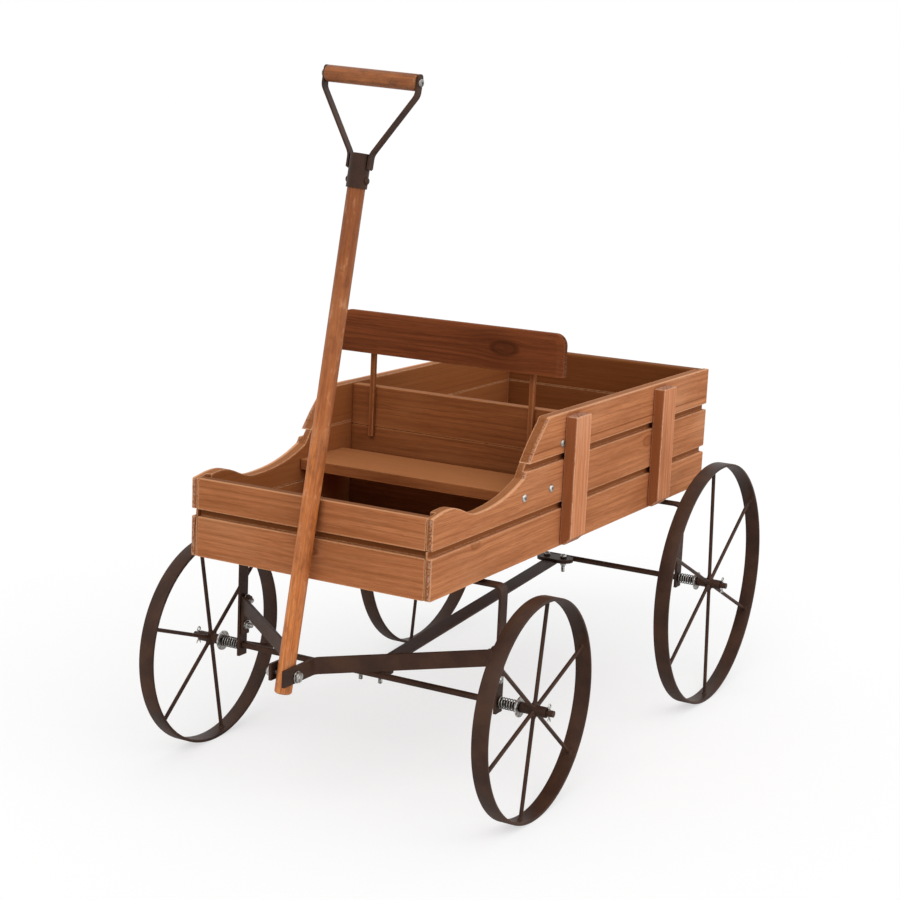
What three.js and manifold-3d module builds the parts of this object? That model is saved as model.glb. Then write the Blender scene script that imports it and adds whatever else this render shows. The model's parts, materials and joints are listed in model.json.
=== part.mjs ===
// Garden wagon stand: a planked wooden wagon box on two iron arches, with four spoked wheels that turn on
// sprung axle ends and a pull handle hinged in a forked drawbar.
// Millimetres. x runs from the drawbar to the rear, y from the wagon's left side to its right, z up.
// While it is built, x = 0 is the box's front face and z = 0 is the ground. The finished wagon is then
// moved along x, so that its origin is on the ground under its middle.
import * as THREE from "three";
import { mergeVertices } from "three/addons/utils/BufferGeometryUtils.js";
import Module from "manifold-3d";

const wasm = await Module();
wasm.setup();

// ---------------------------------------------------------------- sizes

const GAP = 0.3; // between pieces that touch
const OVERCUT = 1; // how far a cutter runs past what it cuts
const TURNING_GAP = 0.3; // round a shaft that something turns on

// Wagon box
const BOX_LENGTH = 534;
const BOX_WIDTH = 222;
const BOX_BOTTOM = 191.4; // height of its underside above the ground
const TRAY_HEIGHT = 64; // of the low front part
const REAR_HEIGHT = 115; // of the high rear part
const SIDE_THICKNESS = 10;
const END_THICKNESS = 12; // of the front and rear walls
const CORNER_LAP = 5.5; // thickness of the side's end that laps over an end wall
const FIRST_JOINT = 36; // height of the lowest joint between boards
const BOARD_PITCH = 42; // from one joint to the next
const GROOVE_WIDTH = 6;
const GROOVE_DEPTH = 4;
const TOP_EDGE_RADIUS = 3; // rounding on the front wall's top edge
const EDGE_STEPS = 4;

// Scroll cut along the top of each side, from the front corner to the high rear part
const CREST_X = 26;
const CREST_RISE = 3.2; // above the tray's height
const CREST_EASE = { front: 10, rear: 18 }; // how far the curve's ends reach out level from the crest
const DIP_X = 72;
const DIP_DROP = 8.3; // below the tray's height
const DIP_EASE = { front: 18, rear: 33 };
const SHOULDER_X = 147;
const SHOULDER_RISE = 6;
const SHOULDER_EASE = { back: 21, down: 9 };
const RAMP_TOP_X = 186;
const RAMP_SWELL = 1.5; // how far the ramp's middle stands out from a straight line
const RAMP_CORNER = 4; // rounding where the ramp meets the top
const SCROLL_STEPS = 8;

// Floor, seat and the rear box's front wall
const FLOOR_THICKNESS = 9;
const FLOOR_BELOW = 3.5; // how far the floor hangs below the sides
const FLOOR_SLATS = 4;
const DRAIN_GAP = 3; // between floor slats
const PARTITION_X = 220;
const PARTITION_THICKNESS = 10;
const PARTITION_TOP = 114;
const PARTITION_HOUSING = 1.5; // depth of the groove across the floor that its foot stands in
const SEAT_DEPTH = 66;
const SEAT_THICKNESS = 9;
const SEAT_HEIGHT = 54; // of its middle plane above the box's underside
const SEAT_FRONT_X = 139;
const POST_WIDTH = 4.5;
const POST_DEPTH = 4;
const POST_FROM_SIDE = 22.5; // from the side's inner face to the post's middle
const POST_FOOT = 70;
const POST_TOP = 177;
const BACK_SHORT_OF_SIDE = 1; // how far each end stops short of the box's outer face
const BACK_THICKNESS = 8;
const BACK_BOTTOM = 145;
const BACK_HEIGHT = 36;
const BACK_CORNER = 10;
const BACK_BEVEL_DEPTH = 3;
const BACK_BEVEL_WIDTH = 5;

// Battens on the outside of the rear box
const BATTEN_WIDTH = 28;
const BATTEN_THICKNESS = 10.5;
const BATTEN_FOOT = 1.5;
const BATTEN_TOP = 112;
const BATTEN_CHAMFER = 6;
const REAR_BATTEN_FROM_BACK = 118; // from the box's rear face to the batten's middle
const BATTEN_X = { front: 232, rear: BOX_LENGTH - REAR_BATTEN_FROM_BACK };

// Arches, axles and centre beam
const REAR_AXLE_FROM_BACK = 78; // from the box's rear face to the axle
const AXLE_X = { front: 93, rear: BOX_LENGTH - REAR_AXLE_FROM_BACK };
const WHEEL_RADIUS = { front: 90.75, rear: 115.1 };
const BAR_WIDTH = 11.5;
const BAR_THICKNESS = 2.5;
const ARCH_WIDTH = 252;
const ARCH_BEND = 6;
const LEG_BELOW_AXLE = 9;
const AXLE_DIAMETER = 5.4;
const CROSS_PLATE = { length: 37, width: 20, corner: 9.8, thickness: 1.6 };
const PLATE_WELD = 0.6; // how deep the plate's long side sits in the rod
const PLATE_RISE = 0.7; // from the axle's middle up to its plate's underside
const BEAM_WIDTH = 15.5;
const ROD_SIDES = 16;
const SMALL_HOLE_SIDES = 12;

// Sprung axle ends, from the arch's leg outward
const SPRING_LENGTH = 17.4;
const SPRING_DIAMETER = 10; // outside
const SPRING_WIRE = 1.2;
const SPRING_CURLS = 7;
const CURL_STEPS = 8;
const WIRE_SIDES = 5;
const WASHER_DIAMETER = 17;
const WASHER_THICKNESS = 1.5;
const HUB_LENGTH = 22.9;
const HUB_DIAMETER = 8.6;
const COTTER_PLAY = 0.9;
const COTTER_DIAMETER = 2;
const COTTER_HALF = { eye: 1.6, leg: 1.4 }; // thickness of the wire in the eye and in each splayed leg
const COTTER_PAST_AXLE = 0.8; // straight shank above and below the axle
const COTTER_EYE = 2.2;
const COTTER_LEG = 4.5;
const COTTER_SIDES = 8;
const COTTER_SPLAY = 28; // degrees, each leg
const AXLE_OVERHANG = 4; // past the cotter pin

// Wheels
const RIM_WIDTH = 14;
const RIM_THICKNESS = 2.5;
const RIM_FACETS = 72;
const SPOKES = 6;
const SPOKE_DIAMETER = 5;
const SPOKE_SIDES = 8;
const SPOKE_TURN = {
  front_left: 21,
  front_right: 41.5,
  rear_left: 34.5,
  rear_right: 22,
}; // degrees from the rear toward the top, as the wheels stand

// Drawbar
const ARM_HEIGHT = 13.4;
const ARM_THICKNESS = 2.5;
const ARM_MIDDLE = 127.8; // height of the arm's middle at the leg
const ARM_DROP = 6; // from there to the fork
const ARM_BEND = 4;
const ARM_START = 3; // how far in front of the axle the arm leaves its tab
const TAB_WIDTH = 9;
const TAB_DEPTH = 20; // how far the tab reaches below the arm
const FORK_X = 1.6; // where the arms bend into the fork
const FORK_GAP = 16;
const FORK_NOSE = { left: 17, right: 8 }; // past the pivot
const PIVOT_X = -24.8;
const PIVOT_DROP = 2; // below the fork's middle
const PIVOT_DIAMETER = 5.8;
const PIVOT_HEAD = { width: 9, thickness: 3.2 };
const PIVOT_NUT = { width: 9, thickness: 4.5 };
const PIVOT_BOLT_END = 2; // bolt past the nut

// Handle, measured along the pole from the pivot
const POLE_DIAMETER = 13.8;
const POLE_STUB = 15;
const POLE_TOP = 401;
const POLE_EDGE = 1.2;
const POLE_SIDES = 24;
const HANDLE_SIDE_LEAN = 2.8; // degrees toward the left, taken up by the play in the fork
const SOCKET_LAP = 24.5; // how far the socket reaches down the pole
const SOCKET_LENGTH = 26;
const SOCKET_WALL = 0.9;
const STRAP_WIDTH = 6.6;
const STRAP_THICKNESS = 1.8;
const STRAP_LAP = 11; // how far the strap reaches down the socket
const STRAP_LOWER_BEND = 0.5; // below the socket's top
const STRAP_UPPER_BEND = 9.5; // below the grip's middle
const STRAP_END_FLAT = 0.02; // narrow flat between the upper end's two round corners
const STRAP_BEND = 3;
const GRIP_ABOVE_POLE = 58; // from the pole's top to the grip's middle
const GRIP_LENGTH = 80;
const GRIP_DIAMETER = 12.8;
const GRIP_EDGE = 0.8;
const SCREW_DIAMETER = 3.2;
const SCREW_LENGTH = 14;
const SCREW_HEAD = { diameter: 6.4, thickness: 1.6 };

// ---------------------------------------------------------------- materials

const wood = (colour) => new THREE.MeshStandardMaterial({ color: colour, roughness: 0.7, metalness: 0 });
const SIDE_WOOD = wood("#b0704a");
const END_WOOD = wood("#9a5f3b");
const INNER_WOOD = wood("#7d4c31");
const HANDLE_WOOD = wood("#b8672f");
const IRON = new THREE.MeshStandardMaterial({ color: "#4a352c", roughness: 0.55, metalness: 0.4 });
const ZINC = new THREE.MeshStandardMaterial({ color: "#b9b7b2", roughness: 0.35, metalness: 0.9 });

// ---------------------------------------------------------------- solids

// A closed three.js geometry as a solid that can be joined and cut.
function solid(geometry) {
  geometry.deleteAttribute("normal");
  geometry.deleteAttribute("uv");
  const merged = mergeVertices(geometry, 1e-4);
  const mesh = new wasm.Mesh({
    numProp: 3,
    vertProperties: Float32Array.from(merged.attributes.position.array),
    triVerts: Uint32Array.from(merged.index.array),
  });
  return new wasm.Manifold(mesh);
}

function geometryOf(body) {
  const mesh = body.getMesh();
  const geometry = new THREE.BufferGeometry();
  geometry.setAttribute("position", new THREE.BufferAttribute(mesh.vertProperties, 3));
  geometry.setIndex(new THREE.BufferAttribute(mesh.triVerts, 1));
  geometry.computeVertexNormals();
  return geometry;
}

// A block between two corners, given in any order.
function block(from, to) {
  const low = from.map((value, i) => Math.min(value, to[i]));
  const high = from.map((value, i) => Math.max(value, to[i]));
  const geometry = new THREE.BoxGeometry(high[0] - low[0], high[1] - low[1], high[2] - low[2]);
  geometry.translate((low[0] + high[0]) / 2, (low[1] + high[1]) / 2, (low[2] + high[2]) / 2);
  return solid(geometry);
}

// Where a shape's own u, v and depth point once it stands in the wagon.
const DEPTH_ALONG_X = new THREE.Matrix4().makeBasis(
  new THREE.Vector3(0, 1, 0), new THREE.Vector3(0, 0, 1), new THREE.Vector3(1, 0, 0));
const DEPTH_AGAINST_Y = new THREE.Matrix4().makeBasis(
  new THREE.Vector3(1, 0, 0), new THREE.Vector3(0, 0, 1), new THREE.Vector3(0, -1, 0));

function extruded(shape, depth, options = {}) {
  return new THREE.ExtrudeGeometry(shape, { depth, bevelEnabled: false, ...options });
}

// A shape drawn in (y, z), from x = start over the given length.
function alongX(shape, start, length, options) {
  const geometry = extruded(shape, length, options).applyMatrix4(DEPTH_ALONG_X);
  return solid(geometry.translate(start, 0, 0));
}

// A shape drawn in (x, z), from y = start over the given length.
function alongY(shape, start, length, options) {
  const geometry = extruded(shape, length, options).applyMatrix4(DEPTH_AGAINST_Y);
  return solid(geometry.translate(0, start + length, 0));
}

// A shape drawn in (x, y), from z = start over the given length.
function alongZ(shape, start, length, options) {
  return solid(extruded(shape, length, options).translate(0, 0, start));
}

// A round bar along y between two ends.
function rodAlongY(radius, from, to, x, z, sides = ROD_SIDES) {
  const geometry = new THREE.CylinderGeometry(radius, radius, Math.abs(to - from), sides);
  return solid(geometry.translate(x, (from + to) / 2, z));
}

// A ring along y, with its own bore.
function ringAlongY(outer, inner, from, to, x, z, sides = ROD_SIDES) {
  const bore = rodAlongY(inner, Math.min(from, to) - OVERCUT, Math.max(from, to) + OVERCUT, x, z, sides);
  return rodAlongY(outer, from, to, x, z, sides).subtract(bore);
}

function polygon(points) {
  return new THREE.Shape(points.map(([u, v]) => new THREE.Vector2(u, v)));
}

// The corners of a bar's centre line, each bent round instead of sharp.
function bentLine(corners, bend) {
  const points = corners.map(([u, v]) => new THREE.Vector2(u, v));
  const line = new THREE.Path();
  line.moveTo(points[0].x, points[0].y);
  for (let i = 1; i < points.length - 1; i += 1) {
    const corner = points[i];
    const start = corner.clone().add(points[i - 1].clone().sub(corner).setLength(bend));
    const end = corner.clone().add(points[i + 1].clone().sub(corner).setLength(bend));
    line.lineTo(start.x, start.y);
    line.quadraticCurveTo(corner.x, corner.y, end.x, end.y);
  }
  const last = points[points.length - 1];
  line.lineTo(last.x, last.y);
  return line.getPoints(EDGE_STEPS);
}

// The edge-on outline of a flat bar that follows a line, mitred at each of its points.
function barOutline(line, thickness) {
  const offsets = line.map((point, i) => {
    const inward = point.clone().sub(line[Math.max(i - 1, 0)]).normalize();
    const outward = line[Math.min(i + 1, line.length - 1)].clone().sub(point).normalize();
    const along = inward.clone().add(outward).normalize();
    const turn = i === 0 || i === line.length - 1 ? 1 : along.dot(inward);
    return new THREE.Vector2(-along.y, along.x).multiplyScalar(thickness / 2 / turn);
  });
  const near = line.map((point, i) => point.clone().add(offsets[i]));
  const far = line.map((point, i) => point.clone().sub(offsets[i]));
  return new THREE.Shape([...near, ...far.reverse()]);
}

// A rectangle with round corners, about a centre.
function roundedRectangle(centreU, centreV, width, height, radius) {
  const left = centreU - width / 2;
  const right = centreU + width / 2;
  const low = centreV - height / 2;
  const high = centreV + height / 2;
  const shape = new THREE.Shape();
  shape.moveTo(left + radius, low);
  shape.lineTo(right - radius, low);
  shape.absarc(right - radius, low + radius, radius, -Math.PI / 2, 0);
  shape.lineTo(right, high - radius);
  shape.absarc(right - radius, high - radius, radius, 0, Math.PI / 2);
  shape.lineTo(left + radius, high);
  shape.absarc(left + radius, high - radius, radius, Math.PI / 2, Math.PI);
  shape.lineTo(left, low + radius);
  shape.absarc(left + radius, low + radius, radius, Math.PI, 1.5 * Math.PI);
  return shape;
}

const radians = THREE.MathUtils.degToRad;

function addPiece(parent, name, body, material) {
  const piece = new THREE.Mesh(body.isBufferGeometry ? body : geometryOf(body), material);
  piece.name = name;
  parent.add(piece);
  return piece;
}

const SIDES = { left: -1, right: 1 };
const ENDS = ["front", "rear"];

// ---------------------------------------------------------------- wagon box

const boxZ = (height) => BOX_BOTTOM + height;
const jointHeight = (level) => FIRST_JOINT + level * BOARD_PITCH;
const FLOOR_TOP = FLOOR_THICKNESS - FLOOR_BELOW;

// Lowest and highest edge of a board's full thickness, and the top of the tongue behind the groove above it.
function boardHeights(level, wallHeight) {
  const upperJoint = jointHeight(level);
  const isTop = upperJoint + GROOVE_WIDTH / 2 >= wallHeight;
  return {
    low: level === 0 ? 0 : jointHeight(level - 1) + GROOVE_WIDTH / 2,
    high: isTop ? wallHeight : upperJoint - GROOVE_WIDTH / 2,
    tongue: isTop ? null : upperJoint + GROOVE_WIDTH / 2 - GAP,
  };
}

// Side view of the box: low tray in front, then a crest, a dip and a curved ramp up to the high rear part.
function sideElevation() {
  const shoulder = TRAY_HEIGHT + SHOULDER_RISE;
  const dip = TRAY_HEIGHT - DIP_DROP;
  const crest = TRAY_HEIGHT + CREST_RISE;
  const rampMiddle = (SHOULDER_X + RAMP_TOP_X) / 2;
  const heightMiddle = (shoulder + REAR_HEIGHT) / 2;
  const outline = new THREE.Shape();
  outline.moveTo(0, 0);
  outline.lineTo(BOX_LENGTH, 0);
  outline.lineTo(BOX_LENGTH, REAR_HEIGHT);
  outline.lineTo(RAMP_TOP_X + RAMP_CORNER, REAR_HEIGHT);
  outline.quadraticCurveTo(
    RAMP_TOP_X, REAR_HEIGHT, RAMP_TOP_X - RAMP_CORNER / 2, REAR_HEIGHT - RAMP_CORNER);
  outline.quadraticCurveTo(
    rampMiddle - 2 * RAMP_SWELL, heightMiddle + RAMP_SWELL, SHOULDER_X, shoulder);
  outline.bezierCurveTo(
    SHOULDER_X - SHOULDER_EASE.back, shoulder - SHOULDER_EASE.down, DIP_X + DIP_EASE.rear, dip, DIP_X, dip);
  outline.bezierCurveTo(
    DIP_X - DIP_EASE.front, dip, CREST_X + CREST_EASE.rear, crest, CREST_X, crest);
  outline.bezierCurveTo(
    CREST_X - CREST_EASE.front, crest, CREST_EASE.front, TRAY_HEIGHT + CREST_RISE / 2, 0, TRAY_HEIGHT);
  return outline;
}

const SIDE_LEVELS = ["lower", "middle", "upper"];
const sideOutline = alongY(sideElevation(), -BOX_WIDTH, 2 * BOX_WIDTH, { curveSegments: SCROLL_STEPS })
  .translate([0, 0, BOX_BOTTOM]);

function sideBoard(level, side) {
  const { low, high, tongue } = boardHeights(level, REAR_HEIGHT);
  const outer = side * BOX_WIDTH / 2;
  const inner = side * (BOX_WIDTH / 2 - SIDE_THICKNESS);
  const lap = side * (BOX_WIDTH / 2 - CORNER_LAP);
  const lapLength = END_THICKNESS + GAP;
  let board = block([0, inner, boxZ(low)], [BOX_LENGTH, outer, boxZ(high)]);
  if (tongue !== null) {
    const tongueFace = side * (BOX_WIDTH / 2 - GROOVE_DEPTH);
    board = board.add(block([0, inner, boxZ(low)], [BOX_LENGTH, tongueFace, boxZ(tongue)]));
  }
  for (const [start, end] of [[-OVERCUT, lapLength], [BOX_LENGTH - lapLength, BOX_LENGTH + OVERCUT]]) {
    board = board.subtract(block(
      [start, inner - side * OVERCUT, boxZ(-OVERCUT)], [end, lap, boxZ(REAR_HEIGHT + OVERCUT)]));
  }
  return board.intersect(sideOutline);
}

// A front or rear wall's board between the sides' laps, with its groove on the outer face.
function endBoard(level, wallHeight, outerX, inwardX) {
  const { low, high, tongue } = boardHeights(level, wallHeight);
  const halfWidth = BOX_WIDTH / 2 - CORNER_LAP - GAP;
  const innerX = outerX + inwardX * END_THICKNESS;
  const top = boxZ(high);
  if (tongue === null) {
    const middleX = (outerX + innerX) / 2;
    const middleZ = (boxZ(low) + top) / 2;
    const section = roundedRectangle(middleX, middleZ, END_THICKNESS, top - boxZ(low), TOP_EDGE_RADIUS);
    const rounded = alongY(section, -halfWidth, 2 * halfWidth, { curveSegments: EDGE_STEPS });
    const squareFoot = block(
      [outerX, -halfWidth, boxZ(low)], [innerX, halfWidth, boxZ(low) + TOP_EDGE_RADIUS + OVERCUT]);
    return rounded.add(squareFoot);
  }
  const board = block([outerX, -halfWidth, boxZ(low)], [innerX, halfWidth, top]);
  const tongueX = outerX + inwardX * GROOVE_DEPTH;
  return board.add(block([tongueX, -halfWidth, boxZ(low)], [innerX, halfWidth, boxZ(tongue)]));
}

function partitionBoard(level) {
  const halfWidth = BOX_WIDTH / 2 - SIDE_THICKNESS - GAP;
  const low = level === 0 ? FLOOR_TOP - PARTITION_HOUSING + GAP : jointHeight(level - 1) + GAP;
  const high = Math.min(jointHeight(level), PARTITION_TOP);
  return block(
    [PARTITION_X, -halfWidth, boxZ(low)], [PARTITION_X + PARTITION_THICKNESS, halfWidth, boxZ(high)]);
}

// Floor slat along the box, with a shallow groove across its top for the partition's foot.
function floorSlat(index) {
  const room = BOX_WIDTH - 2 * SIDE_THICKNESS - 2 * GAP;
  const width = (room - (FLOOR_SLATS - 1) * DRAIN_GAP) / FLOOR_SLATS;
  const start = -room / 2 + index * (width + DRAIN_GAP);
  const endX = END_THICKNESS + GAP;
  const slat = block([endX, start, boxZ(-FLOOR_BELOW)], [BOX_LENGTH - endX, start + width, boxZ(FLOOR_TOP)]);
  return slat.subtract(block(
    [PARTITION_X - GAP, -BOX_WIDTH, boxZ(FLOOR_TOP - PARTITION_HOUSING)],
    [PARTITION_X + PARTITION_THICKNESS + GAP, BOX_WIDTH, boxZ(FLOOR_TOP + OVERCUT)]));
}

// Upright batten with the outer corner of its foot cut at 45 degrees.
function batten(end, side) {
  const inner = side * (BOX_WIDTH / 2 + GAP);
  const outer = side * (BOX_WIDTH / 2 + BATTEN_THICKNESS);
  const section = polygon([
    [inner, boxZ(BATTEN_FOOT)],
    [outer - side * BATTEN_CHAMFER, boxZ(BATTEN_FOOT)],
    [outer, boxZ(BATTEN_FOOT + BATTEN_CHAMFER)],
    [outer, boxZ(BATTEN_TOP)],
    [inner, boxZ(BATTEN_TOP)],
  ]);
  return alongX(section, BATTEN_X[end] - BATTEN_WIDTH / 2, BATTEN_WIDTH);
}

function seatBoard() {
  const halfWidth = BOX_WIDTH / 2 - SIDE_THICKNESS - GAP;
  const low = boxZ(SEAT_HEIGHT - SEAT_THICKNESS / 2);
  return block(
    [SEAT_FRONT_X, -halfWidth, low], [SEAT_FRONT_X + SEAT_DEPTH, halfWidth, low + SEAT_THICKNESS]);
}

const POST_FRONT_X = PARTITION_X - GAP - POST_DEPTH;

function post(side) {
  const start = side * (BOX_WIDTH / 2 - SIDE_THICKNESS - POST_FROM_SIDE) - POST_WIDTH / 2;
  return block(
    [POST_FRONT_X, start, boxZ(POST_FOOT)],
    [POST_FRONT_X + POST_DEPTH, start + POST_WIDTH, boxZ(POST_TOP)]);
}

// The backrest: round upper corners, and a bevel round the front except along its lower edge.
function seatBack() {
  const width = BOX_WIDTH - 2 * BACK_SHORT_OF_SIDE;
  const hidden = 2 * BACK_BEVEL_WIDTH; // part of the blank below the lower edge, cut off again
  const blank = roundedRectangle(
    0, boxZ(BACK_BOTTOM + (BACK_HEIGHT - hidden) / 2), width, BACK_HEIGHT + hidden, BACK_CORNER);
  const rearX = POST_FRONT_X - GAP;
  const frontX = rearX - BACK_THICKNESS;
  const bevelled = alongX(blank, frontX + BACK_BEVEL_DEPTH, BACK_THICKNESS, {
    bevelEnabled: true,
    bevelSegments: 1,
    bevelThickness: BACK_BEVEL_DEPTH,
    bevelSize: BACK_BEVEL_WIDTH,
    bevelOffset: -BACK_BEVEL_WIDTH,
    curveSegments: EDGE_STEPS,
  });
  const kept = block(
    [frontX - OVERCUT, -width, boxZ(BACK_BOTTOM)],
    [rearX, width, boxZ(BACK_BOTTOM + 2 * BACK_HEIGHT)]);
  return bevelled.intersect(kept);
}

function addBox(wagon) {
  for (const [side, sign] of Object.entries(SIDES)) {
    SIDE_LEVELS.forEach((name, level) => {
      addPiece(wagon, `side_board_${side}_${name}`, sideBoard(level, sign), SIDE_WOOD);
    });
    for (const end of ENDS) {
      addPiece(wagon, `batten_${side}_${end}`, batten(end, sign), SIDE_WOOD);
    }
    addPiece(wagon, `backrest_post_${side}`, post(sign), INNER_WOOD);
  }
  ["lower", "upper"].forEach((name, level) => {
    addPiece(wagon, `front_board_${name}`, endBoard(level, TRAY_HEIGHT, 0, 1), END_WOOD);
  });
  SIDE_LEVELS.forEach((name, level) => {
    addPiece(wagon, `rear_board_${name}`, endBoard(level, REAR_HEIGHT, BOX_LENGTH, -1), END_WOOD);
    addPiece(wagon, `partition_board_${name}`, partitionBoard(level), INNER_WOOD);
  });
  for (let index = 0; index < FLOOR_SLATS; index += 1) {
    addPiece(wagon, `floor_slat_${index + 1}`, floorSlat(index), INNER_WOOD);
  }
  addPiece(wagon, "seat_board", seatBoard(), INNER_WOOD);
  addPiece(wagon, "backrest_board", seatBack(), INNER_WOOD);
}

// ---------------------------------------------------------------- arches, axles and beam

const LEG_OUTER_Y = ARCH_WIDTH / 2;
const AXLE_RADIUS = AXLE_DIAMETER / 2;
const SPRING_INNER_Y = LEG_OUTER_Y + GAP;
const WASHER_INNER_Y = SPRING_INNER_Y + SPRING_LENGTH + GAP;
const HUB_INNER_Y = WASHER_INNER_Y + WASHER_THICKNESS + GAP;
const HUB_OUTER_Y = HUB_INNER_Y + HUB_LENGTH;
const COTTER_Y = HUB_OUTER_Y + COTTER_PLAY + COTTER_DIAMETER / 2;
const AXLE_END_Y = COTTER_Y + AXLE_OVERHANG;
const axleZ = (end) => WHEEL_RADIUS[end];
const inward = { front: 1, rear: -1 }; // from an axle toward the wagon's middle, along x
const plateX = (end) => AXLE_X[end] + inward[end] * (AXLE_RADIUS - PLATE_WELD + CROSS_PLATE.width / 2);

// One flat bar bent into an inverted U under the box, with a hole in each leg for the axle.
function arch(end) {
  const legY = LEG_OUTER_Y - BAR_THICKNESS / 2;
  const topZ = boxZ(-FLOOR_BELOW) - GAP - BAR_THICKNESS / 2;
  const footZ = axleZ(end) - LEG_BELOW_AXLE;
  const line = bentLine([[-legY, footZ], [-legY, topZ], [legY, topZ], [legY, footZ]], ARCH_BEND);
  const bar = alongX(barOutline(line, BAR_THICKNESS), AXLE_X[end] - BAR_WIDTH / 2, BAR_WIDTH);
  const holeRadius = AXLE_RADIUS + TURNING_GAP;
  return bar.subtract(rodAlongY(holeRadius, -ARCH_WIDTH, ARCH_WIDTH, AXLE_X[end], axleZ(end)));
}

// Flat oval plate beside the middle of an axle, with its top at the given height.
function crossPlate(end, topZ) {
  const { length, width, corner, thickness } = CROSS_PLATE;
  const outline = roundedRectangle(plateX(end), 0, width, length, corner);
  return alongZ(outline, topZ - thickness, thickness, { curveSegments: 2 * EDGE_STEPS });
}

function cotterHole(end, side) {
  const hole = new THREE.CylinderGeometry(
    COTTER_DIAMETER / 2 + GAP, COTTER_DIAMETER / 2 + GAP, 2 * AXLE_DIAMETER, SMALL_HOLE_SIDES);
  hole.rotateX(Math.PI / 2);
  return solid(hole.translate(AXLE_X[end], side * COTTER_Y, axleZ(end)));
}

function axle(end) {
  const rod = rodAlongY(AXLE_RADIUS, -AXLE_END_Y, AXLE_END_Y, AXLE_X[end], axleZ(end));
  const plate = crossPlate(end, axleZ(end) + PLATE_RISE + CROSS_PLATE.thickness);
  return rod.add(plate).subtract(cotterHole(end, -1)).subtract(cotterHole(end, 1));
}

// Flat bar from axle to axle, with a cross plate at each end that lies level under the axle's own plate.
function centreBeam() {
  const topZ = (end) => axleZ(end) + PLATE_RISE - GAP;
  const half = CROSS_PLATE.width / 2;
  const line = bentLine([
    [plateX("front"), topZ("front") - CROSS_PLATE.thickness / 2],
    [plateX("front") + half, topZ("front") - CROSS_PLATE.thickness / 2],
    [plateX("rear") - half, topZ("rear") - CROSS_PLATE.thickness / 2],
    [plateX("rear"), topZ("rear") - CROSS_PLATE.thickness / 2],
  ], 2 * CROSS_PLATE.thickness);
  const bar = alongY(barOutline(line, CROSS_PLATE.thickness), -BEAM_WIDTH / 2, BEAM_WIDTH);
  const undercut = (end) => rodAlongY(
    AXLE_RADIUS + GAP, -CROSS_PLATE.length, CROSS_PLATE.length, AXLE_X[end], axleZ(end));
  return ENDS.reduce(
    (beam, end) => beam.add(crossPlate(end, topZ(end))).subtract(undercut(end)), bar);
}

// ---------------------------------------------------------------- sprung axle ends

// The spring's centre line about the y axis: a straight run at each end, square to what it meets.
function springLine(steps) {
  const radius = (SPRING_DIAMETER - SPRING_WIRE) / 2;
  const coiled = SPRING_LENGTH - 2 * SPRING_WIRE;
  const points = [new THREE.Vector3(radius, 0, 0)];
  for (let i = 0; i <= SPRING_CURLS * steps; i += 1) {
    const angle = (2 * Math.PI * i) / steps;
    const y = SPRING_WIRE + (coiled * i) / (SPRING_CURLS * steps);
    points.push(new THREE.Vector3(radius * Math.cos(angle), y, radius * Math.sin(angle)));
  }
  points.push(new THREE.Vector3(radius, SPRING_LENGTH, 0));
  return points;
}

// One unbroken tube of wire: a ring of points square to the line at each of its steps, and a cap at each end.
function springGeometry() {
  const line = springLine(CURL_STEPS);
  const last = line.length - 1;
  const positions = [];
  line.forEach((point, i) => {
    const along = line[Math.min(i + 1, last)].clone().sub(line[Math.max(i - 1, 0)]).normalize();
    const outward = new THREE.Vector3(point.x, 0, point.z).normalize();
    const across = new THREE.Vector3().crossVectors(along, outward).normalize();
    for (let k = 0; k < WIRE_SIDES; k += 1) {
      const angle = (2 * Math.PI * k) / WIRE_SIDES;
      const vertex = point.clone()
        .addScaledVector(outward, (SPRING_WIRE / 2) * Math.cos(angle))
        .addScaledVector(across, (SPRING_WIRE / 2) * Math.sin(angle));
      positions.push(vertex.x, vertex.y, vertex.z);
    }
  });
  const faces = [];
  for (let i = 0; i < last; i += 1) {
    for (let k = 0; k < WIRE_SIDES; k += 1) {
      const a = i * WIRE_SIDES + k;
      const b = i * WIRE_SIDES + ((k + 1) % WIRE_SIDES);
      faces.push(a, b, a + WIRE_SIDES, b, b + WIRE_SIDES, a + WIRE_SIDES);
    }
  }
  for (let k = 1; k < WIRE_SIDES - 1; k += 1) {
    const start = last * WIRE_SIDES;
    faces.push(0, k + 1, k, start, start + k, start + k + 1);
  }
  const geometry = new THREE.BufferGeometry();
  geometry.setAttribute("position", new THREE.Float32BufferAttribute(positions, 3));
  geometry.setIndex(faces);
  geometry.computeVertexNormals();
  return geometry;
}

// Least free gap between one curl of the wire and the next, measured on points of its centre line.
function springSelfGap() {
  const fine = 6 * CURL_STEPS;
  const line = springLine(fine);
  let least = Infinity;
  for (let i = 0; i < line.length; i += 1) {
    for (let j = i + fine / 2; j < line.length; j += 1) {
      least = Math.min(least, line[i].distanceTo(line[j]));
    }
  }
  return least - SPRING_WIRE;
}

function spring(end, side) {
  const geometry = springGeometry();
  if (side < 0) {
    geometry.rotateZ(Math.PI);
  }
  return geometry.translate(AXLE_X[end], side * SPRING_INNER_Y, axleZ(end));
}

function washer(end, side) {
  const from = side * WASHER_INNER_Y;
  const to = side * (WASHER_INNER_Y + WASHER_THICKNESS);
  const bore = AXLE_RADIUS + TURNING_GAP;
  return ringAlongY(WASHER_DIAMETER / 2, bore, from, to, AXLE_X[end], axleZ(end), 2 * ROD_SIDES);
}

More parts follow.
